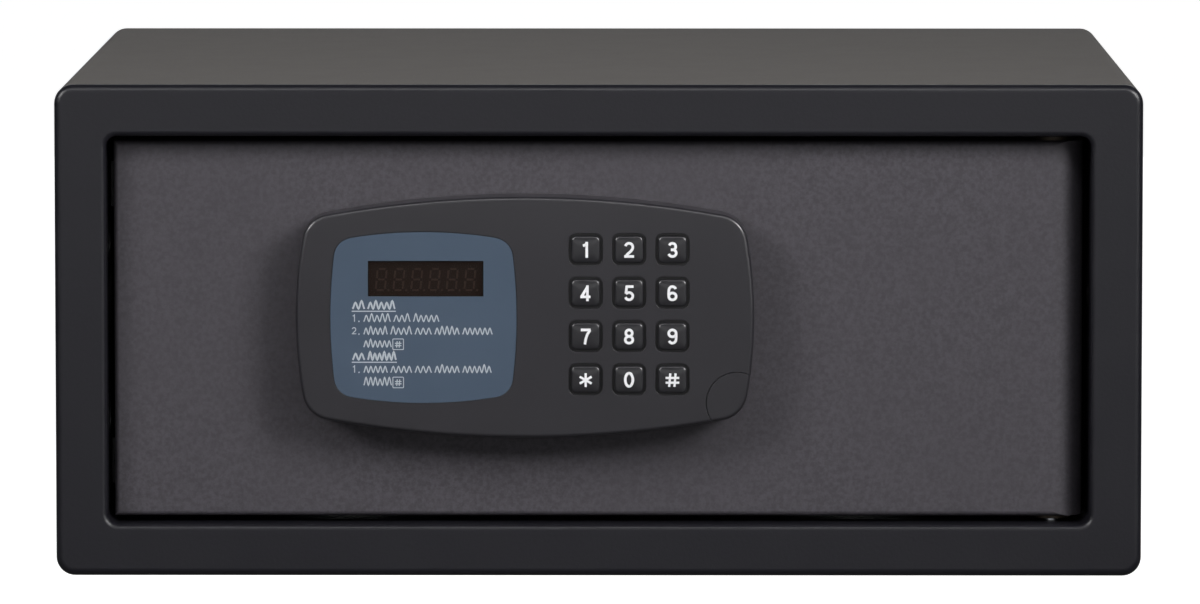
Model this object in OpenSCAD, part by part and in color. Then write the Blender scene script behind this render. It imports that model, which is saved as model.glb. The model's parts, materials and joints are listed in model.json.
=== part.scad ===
// In-room safe with a motorised two-bolt lock, a keypad panel and a mechanical override.
// Millimetres. +X is to the right, the door faces -Y and +Z is up.
// The origin is the middle of the bounding box's underside.
// Inside the source a depth is measured inwards from the front frame's face, so it grows along +Y.

/* [Cabinet] */
// Outside width of the cabinet
cabinet_w = 430; // [428:0.5:434]
// Outside depth of the cabinet, without the control panel
cabinet_d = 370; // [340:1:420]
// Outside height of the cabinet
cabinet_h = 195; // [194:0.5:200]
// Thickness of the folded wrap and the back
sheet_t = 2; // [1.5:0.1:2.2]
// Outside radius of the four long folds
fold_r = 7.5; // [6:0.5:9]
// Diameter of the floor and wall anchor holes
anchor_d = 10; // [8:0.5:12]
// Distance between the floor anchors, side to side
anchor_dx = 300; // [200:1:340]
// Distance between the floor anchors, front to back
anchor_dy = 200; // [120:1:240]
// Distance between the two wall anchors
wall_anchor_dx = 220; // [150:1:320]
// Thickness of the carpet mat
mat_t = 3; // [2:0.5:4]

/* [Front frame] */
// Width of the frame's face on all four sides
frame_border = 20.3; // [20:0.1:21]
// Thickness of the frame's face
frame_t = 4; // [3.5:0.5:5]
// Radius of the frame's outer edge
frame_edge_r = 3; // [2:0.5:3.5]
// Corner radius of the opening
opening_r = 4.5; // [3:0.5:6]
// Radius of the opening's front edge
opening_edge_r = 2; // [1:0.5:2.5]
// How far the return flange reaches into the cabinet
flange_d = 38; // [38:1:45]
// Thickness of the return flange
flange_t = 1.5; // [1:0.1:2]

/* [Door] */
// How far the door lies behind the frame's face
door_recess = 10; // [9:0.5:10]
// Gap between the door and the frame
door_gap = 2.6; // [2.4:0.1:2.8]
// Depth of the door tray
door_depth = 24; // [24:0.5:25]
// Thickness of the door's sheet
door_t = 3; // [2.5:0.5:3]
// Radius of the rolled hinge edge, centred on the hinge pins
hinge_roll_r = 12; // [11.5:0.5:12.5]
// Bend radius of the other door edges
door_bend_r = 2; // [1:0.5:3]
// Diameter of the hinge pins
hinge_pin_d = 6; // [5:0.5:7]

/* [Bolts and drive] */
// Diameter of the two bolts
bolt_d = 14; // [12:0.5:14]
// Distance between the two bolts
bolt_pitch = 70; // [60:1:80]
// Length of a bolt
bolt_len = 40; // [38:1:42]
// Module of the rack and pinion
gear_module = 1; // [0.9, 1]
// Teeth on the pinion
pinion_teeth = 18; // [17:1:19]
// Travel of the bolts
bolt_throw = 14; // [10:0.5:14]

/* [Control panel] */
// Width of the panel housing
panel_w = 181; // [178:0.5:184]
// Height of the panel housing
panel_h = 95.5; // [94:0.5:98]
// Panel centre, measured from the middle of the door
panel_x = -29; // [-32:0.5:-26]
// Panel centre above the base
panel_z = 103.6; // [102:0.1:105]
// How far the panel stands out of the frame's face
panel_proud = 8; // [7:0.5:9]
// Wall thickness of the moulded housing
panel_t = 2.2; // [2:0.1:2.4]
// Radius of the panel's front edge
panel_edge_r = 1.6; // [1:0.2:2]
// Width of the blue label
label_w = 73.5; // [70:0.5:76]
// Height of the blue label
label_h = 67.7; // [66:0.5:70]
// Width of the display window
window_w = 45.6; // [42:0.2:48]
// Height of the display window
window_h = 14.1; // [12:0.1:16]

/* [Keys] */
// Width of a key's face
key_w = 11.5; // [10.5:0.1:11.8]
// Height of a key's face
key_h = 10.8; // [10:0.1:11.4]
// Gap around a key
key_gap = 0.85; // [0.6:0.05:1]
// Distance between key centres, side to side
key_dx = 17.1; // [16.6:0.1:17.6]
// Distance between key centres, up and down
key_dz = 17.15; // [16.6:0.05:17.6]
// How far the keys stand out of the panel
key_proud = 1.5; // [1:0.1:2]

/* [Hidden] */
$fn = 48;

KEYS = ["key_1", "key_2", "key_3", "key_4", "key_5", "key_6",
    "key_7", "key_8", "key_9", "key_star", "key_0", "key_hash"];

e = 0.01;                // overlap that keeps cuts clean
running = 0.05;          // radial clearance of a running fit
seated = 0.02;           // clearance of a part fixed in its seat

// Cabinet and frame
front_y = (panel_proud + key_proud - cabinet_d) / 2;     // the frame's face
mid_z = cabinet_h / 2;
open_w = cabinet_w - 2 * frame_border;
open_h = cabinet_h - 2 * frame_border;
open_x = open_w / 2;
open_z0 = frame_border;
open_z1 = cabinet_h - frame_border;
flange_out_x = open_x + flange_t;
flange_z0 = open_z0 - flange_t;
flange_z1 = open_z1 + flange_t;
seam = 0.5;              // groove between the frame and the wrap
frame_strip = 6;         // width of the swept strip round the opening
anchor_mid = cabinet_d / 2;
mat_edge = 8;            // the mat stops where the floor's folds begin
mat_hole_r = 12;
stop_zs = [42, 153];     // heights of the two door stops
stop_reach = 9;
bumper_t = 3.6;

// Door
door_x = open_x - door_gap;
door_z0 = open_z0 + door_gap;
door_z1 = open_z1 - door_gap;
door_d0 = door_recess;
door_d1 = door_recess + door_depth;
skin_d = door_d0 + door_t;                // back of the door's front sheet
pin_x = door_x - hinge_roll_r;
pin_d = door_d0 + hinge_roll_r;
pin_r = hinge_pin_d / 2;
bush_r = 5;
bush_len = 12;
bush_flange_r = 7.5;
bush_flange_t = 1.4;
bracket_t = 12;
pin_head_r = 4.5;
pin_head_t = 2;
cover_t = 1.8;
cover_d = door_d1 - cover_t;
cover_fit = 0.5;
cover_post_r = 4;
screw_r = 1.6;
screw_hole_r = 2.2;
screw_head_r = 3.6;
cover_posts = [[-178, 36], [0, 36], [166, 36], [-178, 159], [0, 159], [166, 159]];

// Bolts, carriage and drive
bolt_r = bolt_d / 2;
bolt_dc = 22;                             // depth of the bolt axes
bolt_zs = [mid_z - bolt_pitch / 2, mid_z + bolt_pitch / 2];
bolt_tip_x = -door_x + 1.5;
bolt_end_x = bolt_tip_x + bolt_len;
bolt_bush_r = 8.2;
bolt_bush_flange_r = 8.9;
tenon_r = 4;
tab_t = 4;
plate_d0 = skin_d;                        // chassis plate, against the door's skin
plate_d1 = plate_d0 + 2;
plate_box = [-166, 70, 44, 151];          // chassis plate's left, right, bottom and top
bar_d0 = 26;                              // carriage plate
bar_d1 = 29;
yoke_w = 30;                              // the carriage's upright part
yoke_z0 = 43.5;
yoke_z1 = 151.5;
bar_top = 99;
bar_right = 62;
tab_w = 6.4;                              // the tab that the override cam pushes
tab_z0 = 82;
rack_pitch_z = 88;
rack_root_z = rack_pitch_z + 1.25 * gear_module;
rack_teeth = 10;
pinion_x = -60;
pinion_r = gear_module * pinion_teeth / 2;
pinion_z = rack_pitch_z - pinion_r;
backlash = 0.1;                           // taken off each tooth
pressure = 20;
shaft_r = 2.5;
gear_box = [-88, -44, 61, 92];            // gear housing: left, right, bottom and top
motor_z = 71;
motor_dc = 22.3;
motor_r = 7;
motor_len = 30;
switch_zs = [111, 136];
guide_r = 2.5;
guides = [[bolt_end_x + 5, 49], [bolt_end_x + 5, 146], [30, 95]];

// Control panel
panel_d1 = door_recess - 0.8;             // back rim of the housing, on its gasket
panel_d0 = -panel_proud;                  // front face of the panel
panel_in = panel_d0 + panel_t;            // inside of the panel's face
panel_arcs = [437, 179, 12];              // radii: top and bottom, sides, corners
label_arcs = [175, 200, 8];
label_x = -69;
label_t = 0.5;
label_inset = 0.6;                        // depth of the label's recess
window_x = -68.1;
window_z = 119;
panel_bosses = [[-108, 126], [-108, 81], [50, 124], [20, 65.5]];
boss_r = 3.5;
cable_hole = [-5, 92];
cable_hole_r = 8;

// Keys
key_x0 = -5;
key_z0 = 130.6;
key_r = 2;
key_front = panel_d0 - key_proud;
key_flange = 1.5;                         // the flange that holds the key behind the panel
key_flange_t = 1;
key_back = panel_in + 0.2;                // front of the flange
mat_d0 = -3.2;
mat_d1 = -2;
pad_box = [-15.5, 41, 70, 140];           // keypad board and mat: left, right, bottom and top

// Cap and override lock
cap_x = 54.8;
cap_z = 69.8;
cap_r = 12.4;
cap_t = 2.6;
cap_gap = 0.3;
cap_under = 0.2;                          // air below the cap
cap_floor = 2;
cap_pin_r = 1.2;
floor_d0 = panel_d0 + cap_t + cap_under;
floor_d1 = floor_d0 + cap_floor;
lock_off = 7;                             // from the cap's pivot to the lock's axis
lock_dir = 138.5;
lock_x = cap_x + lock_off * cos(lock_dir);
lock_z = cap_z + lock_off * sin(lock_dir);
plug_r = 4.2;
lock_r = 6.2;
lock_d0 = -2;
lock_d1 = 20.5;
nut_t = 3;
cam_len = 10;
cam_w = 6;
cam_dir = 172;                            // where the cam points with the key out
tail_r = 3.4;

// Batteries and electronics
cell_r = 7.1;
cell_len = 50.2;
cell_dc = 22.5;
cell_z0 = 71;
cell_pitch = 15.4;
spring_h = 3;                             // length of a compressed contact spring
contact_t = 0.5;
cell_xs = [for (i = [0:3]) 101.9 + i * cell_pitch];
holder_box = [92.5, 157.5, 66, 127];
lid_box = [90, 160, 63, 130];
lid_fit = 0.3;
board_box = [-60, 60, 106, 150];
board_d0 = 19;
board_d1 = 20.6;
lead_r = 0.7;
// Routes of the lead pairs as [x, depth, z]: battery holder to the board's right-hand socket, and
// motor to the board's relay
battery_route = [[92.4, 18, 116], [86, 18, 116], [79, 18.5, 115], [72, 20, 113], [65, 22, 111.5],
    [55, 23.5, 111], [44.2, 23.8, 111]];
motor_route = [[-120.3, 22.3, 71], [-121.8, 22.1, 71.6], [-122.8, 20.5, 75], [-121.5, 18.2, 82],
    [-119, 17.6, 90], [-112, 17.6, 98], [-98, 17.6, 102], [-84, 17.6, 107], [-72, 19, 116],
    [-62, 22, 124], [-56, 24, 129], [-50.4, 24.5, 130.8], [-48.1, 24.6, 131]];
ribbon_t = 0.9;
ribbon_w = 11;
ribbon_x = -10.5;                         // its left edge
ribbon_end = board_d0 - 0.05;
// The ribbon's path as [depth, z], from the keypad board to below the main board
ribbon_path = [[-0.35, 92], [12, 92], [15, 92.8], [17, 95], [17.6, 98], [17.6, 103], [17.6, 108]];

// ---------- placing helpers ----------

// A flat outline in X and Z, from one depth to another
module slab(d0, d1) {
    translate([0, front_y + d1, 0]) rotate([90, 0, 0]) linear_extrude(d1 - d0) children();
}

// A round along the depth
module rod(x, z, d0, d1, r) {
    translate([x, front_y + d0, z]) rotate([-90, 0, 0]) cylinder(r = r, h = d1 - d0);
}

// A round along X
module round_x(x0, x1, d, z, r) {
    translate([x0, front_y + d, z]) rotate([0, 90, 0]) cylinder(r = r, h = x1 - x0);
}

// A round along Z
module round_z(x, d, z0, z1, r) {
    translate([x, front_y + d, z0]) cylinder(r = r, h = z1 - z0);
}

// A box given by its limits
module block(x0, x1, d0, d1, z0, z1) {
    translate([x0, front_y + d0, z0]) cube([x1 - x0, d1 - d0, z1 - z0]);
}

// A rounded rectangle about the origin
module rounded(w, h, r) {
    square([w - 2 * r, h], center = true);
    square([w, h - 2 * r], center = true);
    for (x = [-1, 1], z = [-1, 1]) translate([x * (w / 2 - r), z * (h / 2 - r)]) circle(r);
}

// A rounded rectangle given by its left, right, bottom and top, grown all round
module limits(b, r, grow = 0) {
    translate([(b[0] + b[1]) / 2, (b[2] + b[3]) / 2])
        rounded(b[1] - b[0] + 2 * grow, b[3] - b[2] + 2 * grow, r);
}

// A slot with round ends, along X
module slot(x0, x1, z, r) {
    translate([x0, z - r]) square([x1 - x0, 2 * r]);
    translate([x0, z]) circle(r);
    translate([x1, z]) circle(r);
}

// Sweeps a profile round a rounded rectangle: profile X points outwards, Y towards the viewer
module edge_ring(w, h, r) {
    for (k = [0:3]) rotate([0, 0, 90 * k]) {
        across = k % 2 == 0 ? w : h;
        along = k % 2 == 0 ? h : w;
        translate([across / 2 - r, along / 2 - r, 0])
            rotate_extrude(angle = 90) translate([r, 0]) children();
        translate([across / 2, along / 2 - r, 0])
            rotate([90, 0, 0]) linear_extrude(along - 2 * r) children();
    }
}

// ---------- outlines bowed on all four sides ----------

// Centre of the upper right corner's arc, for a bowed outline of size s and arcs [top, side, corner]
function corner_centre(s, a) = let(
        top = [0, s[1] / 2 - a[0]], side = [s[0] / 2 - a[1], 0],
        rt = a[0] - a[2], rs = a[1] - a[2],
        v = side - top, d = norm(v),
        along = (rt * rt - rs * rs + d * d) / (2 * d),
        off = sqrt(rt * rt - along * along))
    top + v * along / d + [v[1], -v[0]] * off / d;

function arc(c, r, a0, a1, n) =
    [for (i = [0:n]) let(a = a0 + (a1 - a0) * i / n) c + r * [cos(a), sin(a)]];

// Upper right quarter of a bowed outline, pulled in by inset, anticlockwise
function quarter(s, a, inset) = let(
        c = corner_centre(s, a),
        top = [0, s[1] / 2 - a[0]], side = [s[0] / 2 - a[1], 0],
        a1 = atan2(c[1] - side[1], c[0] - side[0]),
        a2 = atan2(c[1] - top[1], c[0] - top[0]))
    concat(arc(side, a[1] - inset, 0, a1, 4),
        arc(c, a[2] - inset, a1 + 8, a2 - 8, 6),
        arc(top, a[0] - inset, a2, 90, 8));

function turned(points) = [for (i = [len(points) - 1:-1:0]) points[i]];

// Whole bowed outline about the centre c
function bowed(c, s, a, inset = 0) = let(
        q = quarter(s, a, inset),
        left = turned([for (i = [0:len(q) - 2]) [-q[i][0], q[i][1]]]),
        upper = concat(q, left),
        lower = turned([for (i = [1:len(upper) - 2]) [upper[i][0], -upper[i][1]]]))
    [for (p = concat(upper, lower)) c + p];

function panel_outline(inset = 0) =
    bowed([panel_x, panel_z], [panel_w, panel_h], panel_arcs, inset);
function label_outline(inset = 0) =
    bowed([label_x, panel_z], [label_w, label_h], label_arcs, inset);

// Outline of a rounded rectangle about c, anticlockwise
function rounded_outline(c, w, h, r, n = 4) =
    [for (k = [0:3], i = [0:n]) let(
            a = 90 * k + 90 * i / n,
            sx = k == 0 || k == 3 ? 1 : -1, sz = k < 2 ? 1 : -1)
        c + [sx * (w / 2 - r), sz * (h / 2 - r)] + r * [cos(a), sin(a)]];

// A solid through rings of [outline, depth], from the back to the front
module loft(rings) {
    n = len(rings[0][0]);
    m = len(rings);
    points = [for (ring = rings, p = ring[0]) [p[0], front_y + ring[1], p[1]]];
    sides = [for (j = [0:m - 2], i = [0:n - 1]) let(k = (i + 1) % n)
        [(j + 1) * n + i, (j + 1) * n + k, j * n + k, j * n + i]];
    polyhedron(points, concat([[for (i = [0:n - 1]) i]],
        [[for (i = [n - 1:-1:0]) (m - 1) * n + i]], sides));
}

// Rings of the panel's rounded front edge, from the tangent to the face
function edge_rings(front, r, steps = 4) =
    [for (i = [0:steps]) let(a = 90 * i / steps) [r * (1 - cos(a)), front + r * (1 - sin(a))]];

// ---------- cabinet ----------

module wrap_outline(inset = 0) {
    translate([0, mid_z]) rounded(cabinet_w - 2 * inset, cabinet_h - 2 * inset, fold_r - inset);
}

module cabinet_shell() color([0.16, 0.16, 0.16]) difference() {
    union() {
        slab(frame_t, frame_t + seam) wrap_outline(seam);
        slab(frame_t + seam, cabinet_d) wrap_outline();
    }
    slab(frame_t - 1, cabinet_d + 1) wrap_outline(sheet_t);
    for (x = [-1, 1], y = [-1, 1])
        round_z(x * anchor_dx / 2, anchor_mid + y * anchor_dy / 2, -1, sheet_t + 1, anchor_d / 2);
}

module rear_panel() color([0.15, 0.15, 0.15]) difference() {
    slab(cabinet_d - sheet_t, cabinet_d) wrap_outline(sheet_t + seated);
    for (x = [-1, 1])
        rod(x * wall_anchor_dx / 2, mid_z, cabinet_d - sheet_t - 1, cabinet_d + 1, anchor_d / 2);
}

module floor_mat() color([0.2, 0.2, 0.21]) difference() {
    block(mat_edge - cabinet_w / 2, cabinet_w / 2 - mat_edge, flange_d + 3, cabinet_d - 4,
        sheet_t, sheet_t + mat_t);
    for (x = [-1, 1], y = [-1, 1])
        round_z(x * anchor_dx / 2, anchor_mid + y * anchor_dy / 2,
            sheet_t - 1, sheet_t + mat_t + 1, mat_hole_r);
}

// Square strip with a rounded corner, for the frame's outer edge
module outer_edge() difference() {
    translate([-fold_r, -frame_t]) square([fold_r, frame_t]);
    difference() {
        translate([-frame_edge_r, -frame_edge_r]) square(frame_edge_r + e);
        translate([-frame_edge_r, -frame_edge_r]) circle(frame_edge_r);
    }
}

// Strip with a rounded corner and the return flange, for the opening's edge
module inner_edge() {
    difference() {
        translate([0, -frame_t]) square([frame_strip, frame_t]);
        difference() {
            translate([-e, -opening_edge_r]) square(opening_edge_r + e);
            translate([opening_edge_r, -opening_edge_r]) circle(opening_edge_r);
        }
    }
    translate([0, -flange_d]) square([flange_t, flange_d - frame_t + e]);
}

module front_frame() color([0.13, 0.13, 0.14]) difference() {
    union() {
        translate([0, front_y, mid_z]) rotate([90, 0, 0]) {
            edge_ring(cabinet_w, cabinet_h, fold_r) outer_edge();
            edge_ring(open_w, open_h, opening_r) inner_edge();
        }
        slab(0, frame_t) translate([0, mid_z]) difference() {
            square([cabinet_w - 2 * fold_r, cabinet_h - 2 * fold_r], center = true);
            rounded(open_w + 2 * frame_strip, open_h + 2 * frame_strip, opening_r + frame_strip);
        }
    }
    for (z = bolt_zs) round_x(-flange_out_x - 1, -open_x + 1, bolt_dc, z, bolt_r + 1);
    round_z(pin_x, pin_d, flange_z0 - 1, open_z0 + 1, pin_r + 0.3);
    round_z(pin_x, pin_d, open_z1 - 1, flange_z1 + 1, pin_r + 0.3);
}

module keeper_plate() color([0.62, 0.63, 0.65]) difference() {
    block(-flange_out_x - 3, -flange_out_x, bolt_dc - 12, bolt_dc + 12,
        bolt_zs[0] - 17, bolt_zs[1] + 17);
    for (z = bolt_zs) round_x(-flange_out_x - 4, -flange_out_x + 1, bolt_dc, z, bolt_r + 1);
}

module hinge_brackets() color([0.45, 0.46, 0.47])
    for (z0 = [flange_z0 - bracket_t, flange_z1]) difference() {
        block(pin_x - 14, open_x, pin_d - 12, pin_d + 12, z0, z0 + bracket_t);
        round_z(pin_x, pin_d, z0 - 1, z0 + bracket_t + 1, pin_r + seated);
    }

module hinge_pins() color([0.7, 0.7, 0.72]) {
    round_z(pin_x, pin_d, flange_z0 - bracket_t, door_z0 + bush_len - 1, pin_r);
    round_z(pin_x, pin_d, flange_z0 - bracket_t - pin_head_t, flange_z0 - bracket_t, pin_head_r);
    round_z(pin_x, pin_d, door_z1 - bush_len + 1, flange_z1 + bracket_t, pin_r);
    round_z(pin_x, pin_d, flange_z1 + bracket_t, flange_z1 + bracket_t + pin_head_t, pin_head_r);
}

module door_stops() color([0.13, 0.13, 0.14]) for (z = stop_zs)
    block(-flange_out_x, -open_x + stop_reach, flange_d, flange_d + 2, z - 9, z + 9);

module stop_bumpers() color([0.05, 0.05, 0.05]) for (z = stop_zs)
    rod(-open_x + stop_reach - 4.2, z, flange_d - bumper_t, flange_d, 4);

// ---------- door ----------

// Cross-section of the door tray in X and depth, pulled in by inset
module door_plan(inset, back) {
    translate([-door_x + inset, door_d0 + inset])
        square([door_x + pin_x - inset, back - door_d0 - inset]);
    translate([pin_x, pin_d]) circle(hinge_roll_r - inset);
    translate([pin_x - e, pin_d]) square([hinge_roll_r - inset + e, back - pin_d]);
}

module door_skin() color([0.26, 0.25, 0.27]) difference() {
    translate([0, front_y, door_z0]) linear_extrude(door_z1 - door_z0) door_plan(0, door_d1);
    translate([0, front_y, door_z0 + door_t])
        linear_extrude(door_z1 - door_z0 - 2 * door_t) door_plan(door_t, door_d1 + 1);
    // rounded bends along the top, the bottom and the free edge
    for (s = [[door_z0, 1], [door_z1, -1]]) difference() {
        block(-door_x - 1, door_x + 1, door_d0 - 1, door_d0 + door_bend_r,
            min(s[0], s[0] + s[1] * door_bend_r) - (s[1] > 0 ? 1 : 0),
            max(s[0], s[0] + s[1] * door_bend_r) + (s[1] > 0 ? 0 : 1));
        round_x(-door_x - 2, door_x + 2, door_d0 + door_bend_r, s[0] + s[1] * door_bend_r,
            door_bend_r);
    }
    difference() {
        block(-door_x - 1, -door_x + door_bend_r, door_d0 - 1, door_d0 + door_bend_r,
            door_z0 - 1, door_z1 + 1);
        round_z(-door_x + door_bend_r, door_d0 + door_bend_r, door_z0 - 2, door_z1 + 2,
            door_bend_r);
    }
    for (z = bolt_zs)
        round_x(-door_x - 1, -door_x + door_t + 1, bolt_dc, z, bolt_bush_r + seated);
    round_z(pin_x, pin_d, door_z0 - 1, door_z0 + door_t + 1, bush_r + seated);
    round_z(pin_x, pin_d, door_z1 - door_t - 1, door_z1 + 1, bush_r + seated);
    panel_holes(door_d0 - 1, skin_d + 1);
}

// Holes that the door skin and the chassis plate share
module panel_holes(d0, d1) {
    for (p = panel_bosses) rod(p[0], p[1], d0, d1, screw_hole_r);
    rod(cable_hole[0], cable_hole[1], d0, d1, cable_hole_r);
    rod(lock_x, lock_z, d0, d1, lock_r + 0.15);
}

module hinge_bushes() color([0.72, 0.62, 0.35]) {
    difference() {
        union() {
            round_z(pin_x, pin_d, door_z0, door_z0 + bush_len, bush_r);
            round_z(pin_x, pin_d, door_z0 - bush_flange_t, door_z0, bush_flange_r);
        }
        round_z(pin_x, pin_d, door_z0 - bush_flange_t - 1, door_z0 + bush_len + 1,
            pin_r + running);
    }
    difference() {
        union() {
            round_z(pin_x, pin_d, door_z1 - bush_len, door_z1, bush_r);
            round_z(pin_x, pin_d, door_z1, door_z1 + bush_flange_t, bush_flange_r);
        }
        round_z(pin_x, pin_d, door_z1 - bush_len - 1, door_z1 + bush_flange_t + 1,
            pin_r + running);
    }
}

module door_cover() color([0.2, 0.2, 0.21]) difference() {
    slab(cover_d, door_d1) limits([-door_x + door_t + cover_fit, door_x - door_t - cover_fit,
        door_z0 + door_t + cover_fit, door_z1 - door_t - cover_fit], 3);
    for (p = cover_posts) rod(p[0], p[1], cover_d - 1, door_d1 + 1, screw_hole_r);
    slab(cover_d - 1, door_d1 + 1) limits(lid_box, 4);
}

module cover_standoffs() color([0.7, 0.7, 0.72]) for (p = cover_posts) difference() {
    rod(p[0], p[1], skin_d, cover_d, cover_post_r);
    rod(p[0], p[1], cover_d - 10, cover_d + 1, screw_r + seated);
}

module cover_screws() color([0.7, 0.7, 0.72]) for (p = cover_posts) {
    rod(p[0], p[1], cover_d - 8, door_d1, screw_r);
    difference() {
        rod(p[0], p[1], door_d1, door_d1 + 1.8, screw_head_r);
        for (a = [0, 90]) translate([p[0], front_y + door_d1 + 1.4, p[1]]) rotate([0, a, 0])
            cube([4, 1.2, 0.8], center = true);
    }
}

module mechanism_plate() color([0.66, 0.67, 0.68]) difference() {
    slab(plate_d0, plate_d1) limits(plate_box, 4);
    panel_holes(plate_d0 - 1, plate_d1 + 1);
}

module panel_screws() color([0.72, 0.72, 0.74]) for (p = panel_bosses) {
    rod(p[0], p[1], 0, plate_d1, screw_r);
    rod(p[0], p[1], plate_d1, plate_d1 + 2, screw_head_r);
}

module guide_screws() color([0.7, 0.7, 0.72]) for (p = guides) {
    rod(p[0], p[1], plate_d1, bar_d1 + 0.2, guide_r);
    rod(p[0], p[1], plate_d1, bar_d0 - 0.2, guide_r + 1.2);
    rod(p[0], p[1], bar_d1 + 0.2, bar_d1 + 2.2, guide_r + 1.8);
}

// ---------- bolts and drive ----------

module bolt_bushes() color([0.85, 0.85, 0.8]) for (z = bolt_zs) difference() {
    union() {
        round_x(-door_x + 0.6, -door_x + door_t, bolt_dc, z, bolt_bush_r);
        round_x(-door_x + door_t, -door_x + door_t + 2.5, bolt_dc, z, bolt_bush_flange_r);
    }
    round_x(-door_x, -door_x + door_t + 4, bolt_dc, z, bolt_r + running);
}

module lock_bolts() color([0.78, 0.78, 0.8]) for (z = bolt_zs) {
    translate([bolt_tip_x, front_y + bolt_dc, z]) rotate([0, 90, 0])
        cylinder(r1 = bolt_r - 1, r2 = bolt_r, h = 1);
    round_x(bolt_tip_x + 1, bolt_end_x, bolt_dc, z, bolt_r);
    round_x(bolt_end_x, bolt_end_x + tab_t + 5, bolt_dc, z, tenon_r);
}

module bolt_nuts() color([0.7, 0.7, 0.72]) for (z = bolt_zs) difference() {
    translate([bolt_end_x + tab_t, front_y + bolt_dc, z]) rotate([0, 90, 0])
        cylinder(r = 6.8, h = 3.6, $fn = 6);
    round_x(bolt_end_x + tab_t - 1, bolt_end_x + tab_t + 5, bolt_dc, z, tenon_r + seated);
}

function rack_outline() = let(
        p = PI * gear_module, t = p / 4 - backlash / 2,
        lo = t - gear_module * tan(pressure), hi = t + 1.25 * gear_module * tan(pressure),
        tip = rack_pitch_z - gear_module)
    concat([for (k = [-3:rack_teeth - 4], q = [[-hi, rack_root_z], [-lo, tip],
            [lo, tip], [hi, rack_root_z]]) [pinion_x + k * p + q[0], q[1]]],
        [[pinion_x + (rack_teeth - 3) * p, rack_root_z + 1], [pinion_x - 4 * p, rack_root_z + 1]]);

module bolt_carriage() color([0.74, 0.72, 0.6]) difference() {
    union() {
        slab(bar_d0, bar_d1) {
            translate([bolt_end_x, yoke_z0]) square([yoke_w, yoke_z1 - yoke_z0]);
            translate([bolt_end_x, rack_root_z]) square([bar_right - bolt_end_x,
                bar_top - rack_root_z]);
            polygon(rack_outline());
            translate([bar_right - tab_w, tab_z0]) square([tab_w, bar_top - tab_z0]);
        }
        for (z = bolt_zs)
            block(bolt_end_x, bolt_end_x + tab_t, bolt_dc - 6.5, bar_d0 + e, z - 9, z + 9);
    }
    for (z = bolt_zs) {
        round_x(bolt_end_x - 1, bolt_end_x + tab_t + 1, bolt_dc, z, tenon_r + seated);
        // room for the nut behind the tab
        block(bolt_end_x + tab_t, bolt_end_x + tab_t + 7, bar_d0 - 1, bar_d1 + 1, z - 8, z + 8);
    }
    slab(bar_d0 - 1, bar_d1 + 1) for (p = guides)
        slot(p[0], p[0] + bolt_throw, p[1], guide_r + running);
    slab(bar_d0 - 1, bar_d1 + 1)
        limits([bolt_end_x + 14, bolt_end_x + 25, 104, 128], 3);
}

function involute(a) = tan(a) * 180 / PI - a;

function pinion_outline() = let(
        base = pinion_r * cos(pressure), tip = pinion_r + gear_module,
        root = pinion_r - 1.25 * gear_module,
        half = 90 / pinion_teeth - backlash / 2 / pinion_r * 180 / PI + involute(pressure),
        rs = [for (i = [0:5]) base + (tip - base) * i / 5],
        flank = [for (r = rs) [r, half - involute(acos(base / r))]],
        side = concat([[root, flank[0][1] + 0.6]], flank))
    [for (k = [0:pinion_teeth - 1]) let(mid = 90 + (k + 0.5) * 360 / pinion_teeth)
        each concat([for (q = side) q[0] * [cos(mid - q[1]), sin(mid - q[1])]],
            [for (q = turned(side)) q[0] * [cos(mid + q[1]), sin(mid + q[1])]])];

module drive_pinion() color([0.9, 0.89, 0.84]) {
    slab(bar_d0 - 0.5, bar_d1 + 0.5) translate([pinion_x, pinion_z]) polygon(pinion_outline());
    rod(pinion_x, pinion_z, plate_d1 + 2, bar_d1 + 1.5, shaft_r);
}

module gear_housing() color([0.12, 0.12, 0.13]) difference() {
    union() {
        slab(plate_d1, bar_d0 - 1) limits(gear_box, 3);
        rod(pinion_x, pinion_z, bar_d0 - 1, bar_d0 - 0.6, 5);
    }
    rod(pinion_x, pinion_z, plate_d1 + 1.8, bar_d0, shaft_r + running);
}

module motor() color([0.7, 0.7, 0.71]) {
    round_x(gear_box[0] - motor_len, gear_box[0], motor_dc, motor_z, motor_r);
    round_x(gear_box[0] - motor_len - 2, gear_box[0] - motor_len, motor_dc, motor_z, 3);
}

module microswitches() color([0.1, 0.1, 0.11]) for (z = switch_zs) {
    block(-118, -98, plate_d1, plate_d1 + 6.4, z - 5, z + 5);
    block(-119, -117, plate_d1 + 1, bar_d1, z - 2.4, z + 2.4);
}

// ---------- electronics ----------

module main_board() color([0.08, 0.3, 0.16]) difference() {
    slab(board_d0, board_d1) limits(board_box, 2);
    for (x = [board_box[0] + 4, board_box[1] - 4], z = [board_box[2] + 4, board_box[3] - 4])
        rod(x, z, board_d0 - 1, board_d1 + 1, 1.6);
}

module board_components() color([0.12, 0.12, 0.13]) {
    block(-20, -8, board_d1, board_d1 + 2.2, 122, 134);
    block(-48, -36, board_d1, board_d1 + 8, 126, 142);
    block(24, 44, board_d1, board_d1 + 6.5, 108, 114);
    block(-11.5, 1.5, board_d1, board_d1 + 5.5, 107.5, 112.5);
    rod(20, 138, board_d1, board_d1 + 8, 6);
    rod(42, 138, board_d1, board_d1 + 9, 4);
    rod(42, 126, board_d1, board_d1 + 9, 4);
}

module battery_holder() color([0.1, 0.1, 0.11]) difference() {
    slab(skin_d, cover_d - 0.4) limits(holder_box, 2);
    for (x = cell_xs) {
        round_z(x, cell_dc, cell_z0 - spring_h, cell_z0 + cell_len + spring_h, cell_r + 0.3);
        block(x - cell_r - 0.3, x + cell_r + 0.3, cell_dc, cover_d,
            cell_z0 - spring_h, cell_z0 + cell_len + spring_h);
    }
}

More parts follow.
